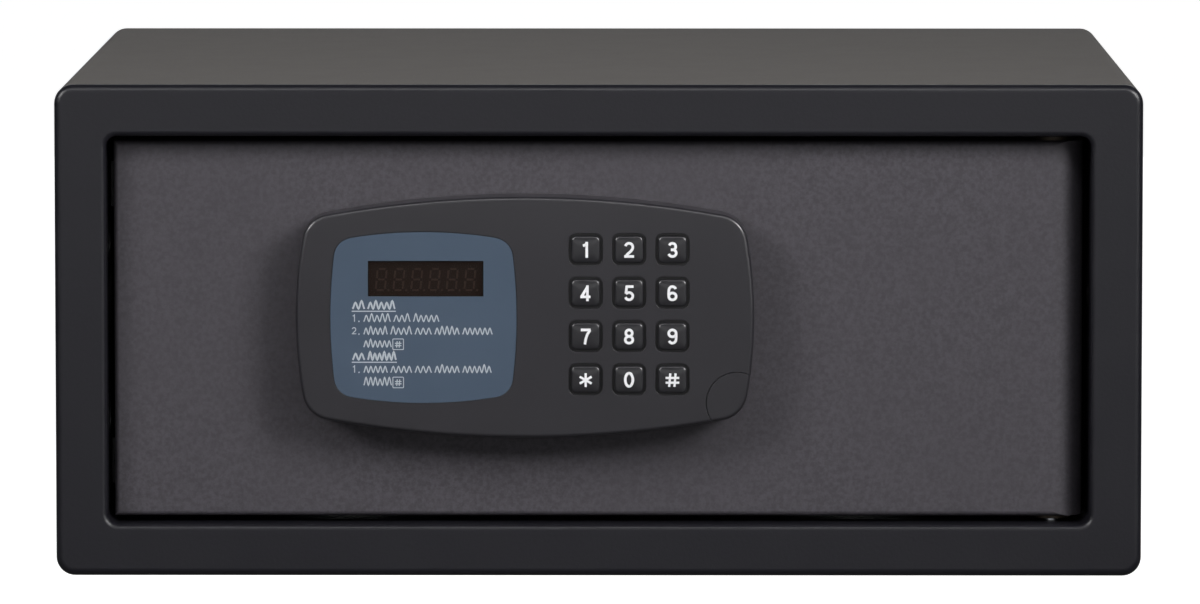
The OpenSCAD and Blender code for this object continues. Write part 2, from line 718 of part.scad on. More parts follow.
module batteries() color([0.2, 0.35, 0.3]) for (i = [0:3]) {
    up = i % 2 == 0;
    round_z(cell_xs[i], cell_dc, cell_z0 + (up ? 0 : 1), cell_z0 + cell_len - (up ? 1 : 0), cell_r);
    round_z(cell_xs[i], cell_dc, up ? cell_z0 + cell_len - 1 : cell_z0,
        up ? cell_z0 + cell_len : cell_z0 + 1, 2.7);
}

// Flat contact at each plus pole and a cone spring's envelope at each minus pole
module battery_contacts() color([0.8, 0.78, 0.72]) for (i = [0:3]) {
    up = i % 2 == 0;
    low = cell_z0 - spring_h;
    high = cell_z0 + cell_len + spring_h;
    for (z = up ? [low, high - spring_h] : [low + spring_h - contact_t, high - contact_t])
        block(cell_xs[i] - 5.5, cell_xs[i] + 5.5, cell_dc - 5, cell_dc + 5, z, z + contact_t);
    translate([cell_xs[i], front_y + cell_dc, up ? low + contact_t : cell_z0 + cell_len])
        cylinder(r1 = up ? 5 : 3.4, r2 = up ? 3.4 : 5, h = spring_h - contact_t);
}

module battery_cover() color([0.13, 0.13, 0.14]) difference() {
    slab(cover_d, door_d1) limits(lid_box, 4 - lid_fit, -lid_fit);
    slab(door_d1 - 0.8, door_d1 + 1) translate([(lid_box[0] + lid_box[1]) / 2, lid_box[3] - 9])
        rounded(18, 8, 3.9);
}

// A tube along a route of [x, depth, z] points
function unit(v) = v / norm(v);
module tube(route, r, sides = 8) {
    n = len(route);
    rings = [for (i = [0:n - 1]) let(
            t = unit(route[min(i + 1, n - 1)] - route[max(i - 1, 0)]),
            u = unit(cross(t, abs(t[1]) > 0.9 ? [1, 0, 0] : [0, 1, 0])),
            v = cross(t, u))
        for (k = [0:sides - 1]) let(a = 360 * k / sides)
            [route[i][0], front_y + route[i][1], route[i][2]] + r * (cos(a) * u + sin(a) * v)];
    polyhedron(rings, concat([[for (k = [0:sides - 1]) k]],
        [[for (k = [sides - 1:-1:0]) (n - 1) * sides + k]],
        [for (i = [0:n - 2], k = [0:sides - 1]) let(q = (k + 1) % sides)
            [(i + 1) * sides + k, (i + 1) * sides + q, i * sides + q, i * sides + k]]));
}

module wiring_leads() color([0.7, 0.1, 0.1]) {
    last = len(motor_route) - 1;
    for (s = [-1, 1]) {
        tube([for (p = battery_route) p + [0, 0, 0.9] * s], lead_r);
        tube([for (i = [0:last])
            motor_route[i] + [i == 0 || i == last ? 0 : 0.6, 0.8, 0.4] * s], lead_r);
    }
}

// Flat cable from the keypad board, through the door, to the main board's lower socket
module ribbon_cable() color([0.75, 0.75, 0.76]) translate([ribbon_x, front_y, 0])
    rotate([90, 0, 90]) linear_extrude(ribbon_w) {
        last = ribbon_path[len(ribbon_path) - 1];
        polygon(concat([for (i = [0:len(ribbon_path) - 1])
                ribbon_path[i] + ribbon_t / 2 * side_way(i)],
            turned([for (i = [0:len(ribbon_path) - 1])
                ribbon_path[i] - ribbon_t / 2 * side_way(i)])));
        translate([last[0] - ribbon_t / 2, last[1] - e])
            square([ribbon_end - last[0] + ribbon_t / 2, 1.5]);
    }

// Direction across the ribbon at one point of its path, on the lower right side
function side_way(i) = let(
        t = unit(ribbon_path[min(i + 1, len(ribbon_path) - 1)] - ribbon_path[max(i - 1, 0)]))
    [t[1], -t[0]];

// ---------- control panel ----------

module panel_shape(inset = 0) polygon(panel_outline(inset));

module key_place(i) translate([key_x0 + key_dx * (i % 3), 0, key_z0 - key_dz * floor(i / 3)])
    children();

module key_outline(grow, r) for (i = [0:11])
    translate([key_x0 + key_dx * (i % 3), key_z0 - key_dz * floor(i / 3)])
        rounded(key_w + 2 * grow, key_h + 2 * grow, r);

module cap_disc(r) translate([cap_x, cap_z]) circle(r);

module panel_body() {
    slab(panel_d0 + panel_edge_r, panel_d1) panel_shape();
    loft([for (q = edge_rings(panel_d0, panel_edge_r)) [panel_outline(q[0]), q[1]]]);
}

module panel_housing() color([0.17, 0.17, 0.18]) difference() {
    union() {
        difference() {
            panel_body();
            slab(panel_in, panel_d1 + 1) panel_shape(panel_t);
        }
        for (p = panel_bosses) rod(p[0], p[1], panel_in - e, panel_d1, boss_r);
        // walls and floor of the cap's recess
        slab(panel_in - e, floor_d1) intersection() {
            panel_shape(e);
            cap_disc(cap_r + 1.6);
        }
    }
    slab(panel_d0 - 1, floor_d0) cap_disc(cap_r);
    rod(cap_x, cap_z, floor_d0 - 1, floor_d1 + 1, cap_pin_r + seated);
    rod(lock_x, lock_z, floor_d0 - 1, floor_d1 + 1, plug_r + 0.1);
    for (p = panel_bosses) rod(p[0], p[1], -3, panel_d1 + 1, screw_r + seated);
    slab(panel_d0 - 1, panel_d0 + label_inset) polygon(label_outline(-0.2));
    slab(panel_d0 - 1, panel_in + 1) {
        translate([window_x, window_z]) square([window_w + 0.6, window_h + 0.6], center = true);
        key_outline(key_gap, key_r + key_gap);
    }
}

module panel_gasket() color([0.05, 0.05, 0.05]) difference() {
    slab(panel_d1, door_d0) panel_shape(0.9);
    panel_holes(panel_d1 - 1, door_d0 + 1);
}

module label_plate() color([0.27, 0.34, 0.42]) difference() {
    slab(panel_d0 + label_inset - label_t, panel_d0 + label_inset) polygon(label_outline());
    slab(panel_d0 - 1, panel_d0 + 1)
        translate([window_x, window_z]) square([window_w, window_h], center = true);
}

module display_window() color([0.1, 0.06, 0.05]) {
    slab(panel_d0 + 0.7, panel_in) translate([window_x, window_z])
        square([window_w + 0.2, window_h + 0.2], center = true);
    slab(panel_in, panel_in + 1) translate([window_x, window_z])
        square([window_w + 4.4, window_h + 4.4], center = true);
}

module display_module() color([0.14, 0.12, 0.12]) {
    slab(panel_in + 1.1, 1) translate([window_x, window_z])
        square([window_w + 4, window_h + 5], center = true);
    slab(1, 2.6) translate([window_x, window_z])
        square([window_w + 12, window_h + 12], center = true);
}

module keypad_board() color([0.08, 0.3, 0.16]) slab(mat_d1, -0.4) limits(pad_box, 1);

// Mat with a collapsing dome under each key
module keypad_mat() color([0.35, 0.35, 0.36]) {
    slab(mat_d0, mat_d1) limits(pad_box, 1);
    for (i = [0:11]) key_place(i) translate([0, front_y + key_back + key_flange_t, 0])
        rotate([-90, 0, 0]) cylinder(r1 = 2, r2 = 3.6, h = mat_d0 - key_back - key_flange_t + e);
}

module key(i) color([0.18, 0.18, 0.19]) key_place(i) {
    loft([
        [rounded_outline([0, 0], key_w, key_h, key_r), key_back],
        [rounded_outline([0, 0], key_w, key_h, key_r), key_front + 1],
        [rounded_outline([0, 0], key_w - 0.4, key_h - 0.4, key_r - 0.2), key_front + 0.45],
        [rounded_outline([0, 0], key_w - 1.2, key_h - 1.2, key_r - 0.5), key_front + 0.15],
        [rounded_outline([0, 0], key_w - 3, key_h - 3, key_r - 0.7), key_front]]);
    slab(key_back, key_back + key_flange_t)
        rounded(key_w + 2 * key_flange, key_h + 2 * key_flange, key_r + key_flange);
}

module corner_cap() color([0.17, 0.17, 0.18]) difference() {
    intersection() {
        union() {
            slab(panel_d0 + panel_edge_r, panel_d0 + cap_t) panel_shape();
            loft([for (q = edge_rings(panel_d0, panel_edge_r)) [panel_outline(q[0]), q[1]]]);
        }
        rod(cap_x, cap_z, panel_d0 - 1, panel_d0 + cap_t, cap_r - cap_gap);
    }
    rod(cap_x, cap_z, panel_d0 + 1, panel_d0 + cap_t + 1, cap_pin_r + running);
}

module cap_pivot() color([0.75, 0.75, 0.77])
    rod(cap_x, cap_z, panel_d0 + 1.1, floor_d1 + 0.9, cap_pin_r);

// ---------- override lock ----------

module override_housing() color([0.72, 0.72, 0.74]) difference() {
    rod(lock_x, lock_z, lock_d0, lock_d1, lock_r);
    rod(lock_x, lock_z, lock_d0 - 1, lock_d1 + 1, plug_r + running);
}

module lock_nut() color([0.7, 0.7, 0.72]) difference() {
    translate([lock_x, front_y + plate_d1, lock_z]) rotate([-90, 0, 0])
        cylinder(r = 9.6, h = nut_t, $fn = 6);
    rod(lock_x, lock_z, plate_d1 - 1, plate_d1 + nut_t + 1, lock_r + seated);
}

module override_plug() color([0.8, 0.72, 0.45]) difference() {
    union() {
        rod(lock_x, lock_z, floor_d0 + 0.4, lock_d1 + 0.2, plug_r);
        rod(lock_x, lock_z, lock_d1 + 0.2, bar_d1, tail_r);
    }
    block(lock_x - 0.7, lock_x + 0.7, floor_d0, floor_d0 + 14, lock_z - 3, lock_z + 3);
}

module override_cam() color([0.74, 0.74, 0.76]) difference() {
    slab(bar_d0, bar_d1) translate([lock_x, lock_z]) rotate([0, 0, cam_dir]) {
        circle(tail_r + 2.6);
        translate([0, -cam_w / 2]) square([cam_len, cam_w]);
        translate([cam_len, 0]) circle(cam_w / 2);
    }
    rod(lock_x, lock_z, bar_d0 - 1, bar_d1 + 1, tail_r + seated);
}

module cam_screw() color([0.7, 0.7, 0.72]) difference() {
    rod(lock_x, lock_z, bar_d1, bar_d1 + 1.8, tail_r + 1);
    block(lock_x - 3, lock_x + 3, bar_d1 + 1.1, bar_d1 + 3, lock_z - 0.5, lock_z + 0.5);
}

cabinet_shell();
front_frame();
rear_panel();
floor_mat();
keeper_plate();
hinge_brackets();
hinge_pins();
door_stops();
stop_bumpers();
door_skin();
door_cover();
cover_standoffs();
cover_screws();
hinge_bushes();
mechanism_plate();
panel_screws();
guide_screws();
bolt_bushes();
lock_bolts();
bolt_carriage();
bolt_nuts();
gear_housing();
motor();
drive_pinion();
main_board();
board_components();
microswitches();
battery_holder();
batteries();
battery_contacts();
battery_cover();
wiring_leads();
ribbon_cable();
panel_housing();
panel_gasket();
label_plate();
display_window();
display_module();
keypad_board();
keypad_mat();
corner_cap();
cap_pivot();
override_housing();
lock_nut();
override_plug();
override_cam();
cam_screw();
for (i = [0:len(KEYS) - 1]) key(i);
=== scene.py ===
"""Looks, light and camera for the in-room safe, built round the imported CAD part.

Outlines are drawn in millimetres as (x, z) seen from the front, and a depth is measured inwards from
the front frame's face, as in the part's own source. Everything in the scene itself is in metres.
"""

import json
import math
import random

import bmesh
import bpy
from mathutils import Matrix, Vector
from mathutils.geometry import delaunay_2d_cdt


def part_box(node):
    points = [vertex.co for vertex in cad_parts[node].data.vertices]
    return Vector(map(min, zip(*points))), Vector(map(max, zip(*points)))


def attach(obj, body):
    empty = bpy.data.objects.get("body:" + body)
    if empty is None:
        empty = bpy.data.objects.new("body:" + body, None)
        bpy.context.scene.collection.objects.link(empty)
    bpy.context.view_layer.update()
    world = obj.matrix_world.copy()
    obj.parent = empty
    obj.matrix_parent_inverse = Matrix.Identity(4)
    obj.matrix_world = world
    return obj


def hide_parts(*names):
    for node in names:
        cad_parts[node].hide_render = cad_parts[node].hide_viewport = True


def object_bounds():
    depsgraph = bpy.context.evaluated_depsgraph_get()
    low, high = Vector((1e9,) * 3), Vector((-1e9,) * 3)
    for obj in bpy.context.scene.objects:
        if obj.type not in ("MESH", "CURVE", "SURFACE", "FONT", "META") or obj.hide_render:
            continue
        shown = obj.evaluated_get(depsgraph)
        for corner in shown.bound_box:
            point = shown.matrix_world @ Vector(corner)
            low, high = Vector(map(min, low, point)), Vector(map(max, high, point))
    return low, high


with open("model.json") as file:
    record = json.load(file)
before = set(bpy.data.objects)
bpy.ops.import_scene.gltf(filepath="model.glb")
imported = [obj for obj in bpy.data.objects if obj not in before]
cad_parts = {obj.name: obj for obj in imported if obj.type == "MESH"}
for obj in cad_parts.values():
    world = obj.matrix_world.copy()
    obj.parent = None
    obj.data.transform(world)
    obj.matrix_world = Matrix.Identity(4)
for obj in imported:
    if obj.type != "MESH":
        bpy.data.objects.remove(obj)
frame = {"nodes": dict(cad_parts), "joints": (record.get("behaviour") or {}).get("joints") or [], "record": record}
CAD_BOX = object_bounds()
MM = 0.001
NODES = frame["nodes"]
RECORD = frame["record"]
BODY_OF = {n: b for b, nodes in RECORD["behaviour"]["bodies"].items() for n in nodes}
SLOT_OF = {s["node"]: s["material_slot"] for s in RECORD["subparts"]}
JOINTS = {j["name"]: j for j in frame["joints"]}
FACE_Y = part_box("front_frame")[0].y          # the frame's face, depth 0


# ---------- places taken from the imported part, in millimetres ----------

def middle(node):
    """Centre of a node's box as (x, z)."""
    lo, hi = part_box(node)
    return (lo.x + hi.x) / 2 / MM, (lo.z + hi.z) / 2 / MM


def axis_of(joint):
    """Place of a joint's axis as (x, z)."""
    x, _, z = JOINTS[joint]["pos_m"]
    return x / MM, z / MM


def depth_of(y):
    return (y - FACE_Y) / MM


PANEL = middle("panel_gasket")
PANEL_D0 = depth_of(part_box("panel_housing")[0].y)
PANEL_D1 = depth_of(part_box("panel_housing")[1].y)
LABEL = middle("label_plate")
LABEL_D0 = depth_of(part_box("label_plate")[0].y)
LABEL_D1 = depth_of(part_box("label_plate")[1].y)
WINDOW = middle("display_window")
CAP = axis_of("cap_swivel")
LOCK = axis_of("override_turn")
KEYS = [n for n in BODY_OF if n.startswith("key_")]

# Sizes of the moulded parts
PANEL_SIZE, PANEL_ARCS, PANEL_WALL, PANEL_EDGE = (181.0, 95.5), (437.0, 179.0, 12.0), 2.2, 1.6
LABEL_SIZE, LABEL_ARCS = (73.5, 67.7), (175.0, 200.0, 8.0)
WINDOW_SIZE = (45.6, 14.1)
KEY_SIZE, KEY_R, KEY_GAP, KEY_PROUD, KEY_FLANGE = (11.5, 10.8), 2.0, 0.85, 1.5, 1.5
CAP_R, CAP_GAP, CAP_T = 12.4, 0.3, 2.6
CAP_FLOOR = (PANEL_D0 + CAP_T + 0.2, PANEL_D0 + CAP_T + 2.2)
PLUG_R, PIVOT_R, CUP_WALL = 4.2, 1.2, 1.6
BOSSES = [(-108, 126), (-108, 81), (50, 124), (20, 65.5)]   # the housing's screw bosses, as (x, z)
BOSS_R, SCREW_R = 3.5, 1.62

# Display figures and the label's print
DIGITS, DIGIT_PITCH, DIGIT_SIZE, DIGIT_LEAN, SEGMENT_W = 6, 7.0, (3.6, 8.4), 0.1, 0.75
FIRST_DIGIT, DOT, DOT_GAP = (WINDOW[0] - 17.6, WINDOW[1] - 0.6), 0.8, 1.1
LEGEND_H = 6.3
LETTER_W, LETTER_H, WORD_GAP, ROW_PITCH, FIRST_ROW = 2.0, 2.4, 1.2, 5.05, 3.5
HEADING_LINE, TEXT_LINE, UNDERLINE, BOX_LINE = 0.68, 0.46, 0.42, 0.32       # widths of the strokes
TEXT_LEFT, TEXT_INDENT = LABEL[0] - 28.0, LABEL[0] - 23.6

# Carpet, in metres
ANCHOR_X, ANCHOR_Y, MAT_HOLE_R, MAT_STEP, TUFT = 0.15, 0.1, 0.012, 0.006, 0.0004

# Camera, in metres apart from its focal length
CAMERA_AT, CAMERA_AIM, FOCAL_MM = (0.0195, FACE_Y - 3.5, 0.4293), (0.0006, FACE_Y, 0.1091), 266.8


# ---------- outlines ----------

def arc(centre, r, a0, a1, n):
    """Points on an arc, angles in degrees, both ends included."""
    return [(centre[0] + r * math.cos(math.radians(a0 + (a1 - a0) * i / n)),
             centre[1] + r * math.sin(math.radians(a0 + (a1 - a0) * i / n))) for i in range(n + 1)]


def bowed(centre, size, arcs, inset=0.0, steps=(10, 14, 24)):
    """Outline bowed on all four sides: arcs are the radii of the top, the sides and the corners."""
    top, side = (0.0, size[1] / 2 - arcs[0]), (size[0] / 2 - arcs[1], 0.0)
    rt, rs = arcs[0] - arcs[2], arcs[1] - arcs[2]
    v = (side[0] - top[0], side[1] - top[1])
    d = math.hypot(*v)
    along = (rt * rt - rs * rs + d * d) / (2 * d)
    off = math.sqrt(rt * rt - along * along)
    corner = (top[0] + (v[0] * along + v[1] * off) / d, top[1] + (v[1] * along - v[0] * off) / d)
    a1 = math.degrees(math.atan2(corner[1] - side[1], corner[0] - side[0]))
    a2 = math.degrees(math.atan2(corner[1] - top[1], corner[0] - top[0]))
    quarter = (arc(side, arcs[1] - inset, 0, a1, steps[0])
               + arc(corner, arcs[2] - inset, a1, a2, steps[1])[1:-1]
               + arc(top, arcs[0] - inset, a2, 90, steps[2]))
    upper = quarter + [(-x, z) for x, z in reversed(quarter[:-1])]
    lower = [(x, -z) for x, z in reversed(upper[1:-1])]
    return [(centre[0] + x, centre[1] + z) for x, z in upper + lower]


def rounded(centre, size, r, n=6):
    """Rounded rectangle, anticlockwise from the upper end of its right side."""
    w, h = size[0] / 2 - r, size[1] / 2 - r
    corners = [(w, h, 0), (-w, h, 90), (-w, -h, 180), (w, -h, 270)]
    return [p for x, z, a in corners for p in arc((centre[0] + x, centre[1] + z), r, a, a + 90, n)]


def circle(centre, r, n=48):
    return arc(centre, r, 0, 360 - 360 / n, n - 1)


# ---------- meshes ----------

def at(p, depth):
    """Point of an outline at a depth, in the row frame."""
    return (p[0] * MM, FACE_Y + depth * MM, p[1] * MM)


def placed(name, bm):
    """Object with a bmesh's faces, linked to the scene."""
    mesh = bpy.data.meshes.new(name)
    bm.to_mesh(mesh)
    bm.free()
    obj = bpy.data.objects.new(name, mesh)
    bpy.context.scene.collection.objects.link(obj)
    return obj


def piece(name, verts, faces):
    mesh = bpy.data.meshes.new("draft")
    mesh.from_pydata(verts, [], faces)
    mesh.validate()
    bm = bmesh.new()
    bm.from_mesh(mesh)
    bpy.data.meshes.remove(mesh)
    bmesh.ops.recalc_face_normals(bm, faces=bm.faces)
    return placed(name, bm)


def loft(name, rings):
    """Closed solid through rings of (outline, depth), from the back to the front."""
    n = len(rings[0][0])
    verts = [at(p, depth) for outline, depth in rings for p in outline]
    faces = [(j * n + i, j * n + (i + 1) % n, (j + 1) * n + (i + 1) % n, (j + 1) * n + i)
             for j in range(len(rings) - 1) for i in range(n)]
    last = (len(rings) - 1) * n
    faces += [tuple(reversed(range(n))), tuple(range(last, last + n))]
    return piece(name, verts, faces)


def prism(name, outline, d0, d1):
    return loft(name, [(outline, d1), (outline, d0)])


def flared(name, outline_at, d0, d1, lip):
    """Cutter whose mouth at depth d0 has a rounded lip. outline_at gives the outline grown by a size."""
    mouth = [(outline_at(lip * (1 - math.sin(a))), d0 + lip * (1 - math.cos(a)))
             for a in (math.pi / 2 * k / 4 for k in range(5))]
    rings = [(outline_at(0), d1)] + list(reversed(mouth)) + [(outline_at(lip), d0 - 1)]
    return loft(name, rings)


def joined(name, parts):
    """One mesh from several pieces that don't touch."""
    bm = bmesh.new()
    for o in parts:
        bm.from_mesh(o.data)
        bpy.data.objects.remove(o)
    return placed(name, bm)


def combine(target, tool, operation):
    """Boolean of two solids, applied to the target's mesh; the tool is removed."""
    m = target.modifiers.new("boolean", "BOOLEAN")
    m.operation, m.solver, m.object = operation, "EXACT", tool
    dg = bpy.context.evaluated_depsgraph_get()
    mesh = bpy.data.meshes.new_from_object(target.evaluated_get(dg))
    target.modifiers.remove(m)
    old = target.data
    target.data = mesh
    bpy.data.meshes.remove(old)
    bpy.data.objects.remove(tool)


def smooth(obj, angle=32.0):
    """Smooth shading up to an angle, weighted so that flat faces stay flat."""
    mesh = obj.data
    mesh.polygons.foreach_set("use_smooth", [True] * len(mesh.polygons))
    mesh.set_sharp_from_angle(angle=math.radians(angle))
    m = obj.modifiers.new("weighted", "WEIGHTED_NORMAL")
    m.keep_sharp = True
    return obj


def coat(obj, material):
    obj.data.materials.clear()
    obj.data.materials.append(material)


def stand_in(obj, node):
    """Gives a piece the material and body of the CAD node that it stands for, and hides the node."""
    coat(obj, MATERIALS[SLOT_OF[node]])
    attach(obj, BODY_OF[node])
    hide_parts(node)


def printed(obj, body, material):
    """Gives a printed or moulded-in mark its material and body."""
    coat(obj, material)
    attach(obj, body)


# ---------- materials ----------

class Nodes:
    """Short names for building a node material in the part's own coordinates, in metres."""

    def __init__(self, name):
        self.mat = bpy.data.materials.new(name)
        self.mat.use_nodes = True
        self.tree = self.mat.node_tree
        self.bsdf = self.tree.nodes["Principled BSDF"]
        self.coords = self.add("ShaderNodeTexCoord").outputs["Object"]

    def add(self, kind):
        return self.tree.nodes.new(kind)

    def link(self, a, b):
        self.tree.links.new(a, b)

    def set(self, **values):
        for key, value in values.items():
            self.bsdf.inputs[key.replace("_", " ")].default_value = value
        return self

    def stretched(self, scale):
        """Coordinates scaled by (x, y, z), for grain with a direction."""
        m = self.add("ShaderNodeMapping")
        m.inputs["Scale"].default_value = scale
        self.link(self.coords, m.inputs["Vector"])
        return m.outputs["Vector"]

    def noise(self, scale, detail=2.0, rough=0.5, coords=None):
        n = self.add("ShaderNodeTexNoise")
        n.inputs["Scale"].default_value = scale
        n.inputs["Detail"].default_value = detail
        n.inputs["Roughness"].default_value = rough
        self.link(coords or self.coords, n.inputs["Vector"])
        return n.outputs["Fac"]

    def remap(self, value, low, high, to_low=0.0, to_high=1.0):
        n = self.add("ShaderNodeMapRange")
        n.inputs["From Min"].default_value = low
        n.inputs["From Max"].default_value = high
        n.inputs["To Min"].default_value = to_low
        n.inputs["To Max"].default_value = to_high
        self.link(value, n.inputs["Value"])
        return n.outputs["Result"]

    def mix(self, fac, a, b):
        """Colour mix; a and b are colours or sockets."""
        n = self.add("ShaderNodeMix")
        n.data_type = "RGBA"
        self.link(fac, n.inputs[0])
        for k, c in ((6, a), (7, b)):
            if isinstance(c, bpy.types.NodeSocket):
                self.link(c, n.inputs[k])
            else:
                n.inputs[k].default_value = (*c, 1.0)
        return n.outputs[2]

    def colour(self, socket):
        self.link(socket, self.bsdf.inputs["Base Color"])
        return self

    def roughness(self, socket):
        self.link(socket, self.bsdf.inputs["Roughness"])
        return self

    def bump(self, *layers):
        """Bump layers of (height socket, depth in metres), one over the other."""
        normal = None
        for height, depth in layers:
            b = self.add("ShaderNodeBump")
            b.inputs["Distance"].default_value = depth
            b.inputs["Strength"].default_value = 1.0
            self.link(height, b.inputs["Height"])
            if normal is not None:
                self.link(normal, b.inputs["Normal"])
            normal = b.outputs["Normal"]
        self.link(normal, self.bsdf.inputs["Normal"])
        return self


def tone(base, factor):
    return tuple(min(1.0, c * factor) for c in base)


def powder_coat(name, base, rough, grain, speckle, patch=0.06, relief=1.0):
    """Powder coat: orange peel, a fine speckle and slow patches of a slightly different tone."""
    n = Nodes(name)
    fine = n.noise(grain, 3.0, 0.6)
    patches = n.noise(9.0, 3.0, 0.55)
    spots = n.mix(n.remap(fine, 0.36, 0.64), tone(base, 1 - speckle), tone(base, 1 + speckle))
    n.colour(n.mix(n.remap(patches, 0.35, 0.65, 0.0, 0.5), spots, tone(base, 1 - patch)))
    n.roughness(n.remap(n.noise(60.0, 4.0), 0.3, 0.7, rough - 0.05 * relief, rough + 0.05 * relief))
    n.bump((n.noise(grain * 0.55, 2.0), 0.00006 * relief), (fine, 0.00003 * relief))
    return n.mat


def moulded(name, base, rough, grain=1800.0, depth=0.00002, **extra):
    """Moulded plastic with a spark-eroded grain and a little handling gloss."""
    n = Nodes(name)
    grain_noise = n.noise(grain, 2.0, 0.6)
    n.colour(n.mix(n.remap(n.noise(35.0, 4.0), 0.3, 0.7), tone(base, 0.93), tone(base, 1.07)))
    n.roughness(n.remap(n.noise(90.0, 5.0, 0.6), 0.3, 0.7, rough - 0.04, rough + 0.05))
    n.bump((grain_noise, depth))
    return n.set(**extra).mat


def plated(name, base, rough, grain=(40.0, 40.0, 900.0), cloud=0.12, metallic=1.0):
    """Plated or drawn metal: faint streaks along the rolling direction and a cloudy plating tone."""
    n = Nodes(name)
    streaks = n.noise(1.0, 4.0, 0.6, n.stretched(grain))
    n.colour(n.mix(n.remap(n.noise(55.0, 5.0), 0.3, 0.7), tone(base, 1 - cloud), tone(base, 1 + cloud / 2)))
    n.roughness(n.remap(streaks, 0.3, 0.7, rough - 0.06, rough + 0.08))
    n.bump((streaks, 0.000008))
    return n.set(Metallic=metallic).mat


def circuit(name):
    """Solder mask with faint raised lines, as tracks have."""
    n = Nodes(name)
    lines = n.add("ShaderNodeTexBrick")
    lines.inputs["Scale"].default_value = 90.0
    lines.inputs["Mortar Size"].default_value = 0.03
    n.link(n.coords, lines.inputs["Vector"])
    fac = lines.outputs["Fac"]
    n.colour(n.mix(fac, (0.012, 0.09, 0.04), (0.03, 0.17, 0.08)))
    n.roughness(n.remap(n.noise(200.0), 0.3, 0.7, 0.3, 0.42))
    n.bump((fac, 0.00003))
    return n.mat


def sleeve(name):
    """Shrink film round the cells, printed in bands of two tones."""
    n = Nodes(name)
    bands = n.noise(1.0, 1.0, 0.5, n.stretched((4.0, 4.0, 120.0)))
    n.colour(n.mix(n.remap(bands, 0.45, 0.55), (0.05, 0.16, 0.12), (0.24, 0.27, 0.26)))
    n.roughness(n.remap(n.noise(150.0), 0.3, 0.7, 0.22, 0.34))
    n.bump((n.noise(300.0), 0.00001))
    return n.set(Metallic=0.35, Coat_Weight=0.5, Coat_Roughness=0.15).mat


def carpet(name):
    """Needle-punched carpet: matted short fibres in several close tones."""
    n = Nodes(name)
    fibres = n.noise(1.0, 5.0, 0.75, n.stretched((900.0, 2200.0, 900.0)))
    crossed = n.noise(1.0, 5.0, 0.75, n.stretched((2400.0, 700.0, 1200.0)))
    tufts = n.noise(330.0, 3.0, 0.6)
    mixed = n.mix(n.remap(crossed, 0.35, 0.65), (0.02, 0.02, 0.023), (0.07, 0.07, 0.078))
    n.colour(n.mix(n.remap(tufts, 0.35, 0.65, 0.0, 0.6), mixed, (0.035, 0.035, 0.04)))
    n.roughness(n.remap(tufts, 0.3, 0.7, 0.86, 0.98))
    n.bump((tufts, 0.0005), (fibres, 0.00025), (crossed, 0.0002))
    return n.set(Sheen_Weight=0.35, Sheen_Roughness=0.6).mat


def label_film(name):
    """Satin polycarbonate over blue ink, a little uneven as printed film is."""
    n = Nodes(name)
    wash = n.noise(26.0, 3.0, 0.5)
    grain = n.noise(2600.0, 2.0)
    n.colour(n.mix(n.remap(wash, 0.3, 0.7), (0.046, 0.069, 0.104), (0.052, 0.0765, 0.114)))
    n.roughness(n.remap(n.noise(120.0, 4.0), 0.3, 0.7, 0.4, 0.5))
    n.bump((grain, 0.000008))
    return n.set(Specular_IOR_Level=0.4).mat


def smoked(name):
    """Smoked acrylic: dark brown, glossy, with the display just showing through."""
    n = Nodes(name)
    n.colour(n.mix(n.remap(n.noise(18.0), 0.3, 0.7), (0.016, 0.0092, 0.0066), (0.019, 0.011, 0.008)))
    n.roughness(n.remap(n.noise(240.0, 3.0), 0.3, 0.7, 0.1, 0.16))
    n.bump((n.noise(700.0), 0.000002))
    n.mat.surface_render_method = "BLENDED"
    return n.set(Alpha=0.5, Specular_IOR_Level=0.3).mat


def ink(name, base, rough=0.45):
    """Screen-printed or laser-filled ink with a slightly uneven edge tone."""
    n = Nodes(name)
    n.colour(n.mix(n.remap(n.noise(1500.0, 3.0), 0.3, 0.7), tone(base, 0.9), base))
    n.roughness(n.remap(n.noise(800.0), 0.3, 0.7, rough, rough + 0.1))
    n.bump((n.noise(2500.0), 0.000006))
    return n.mat


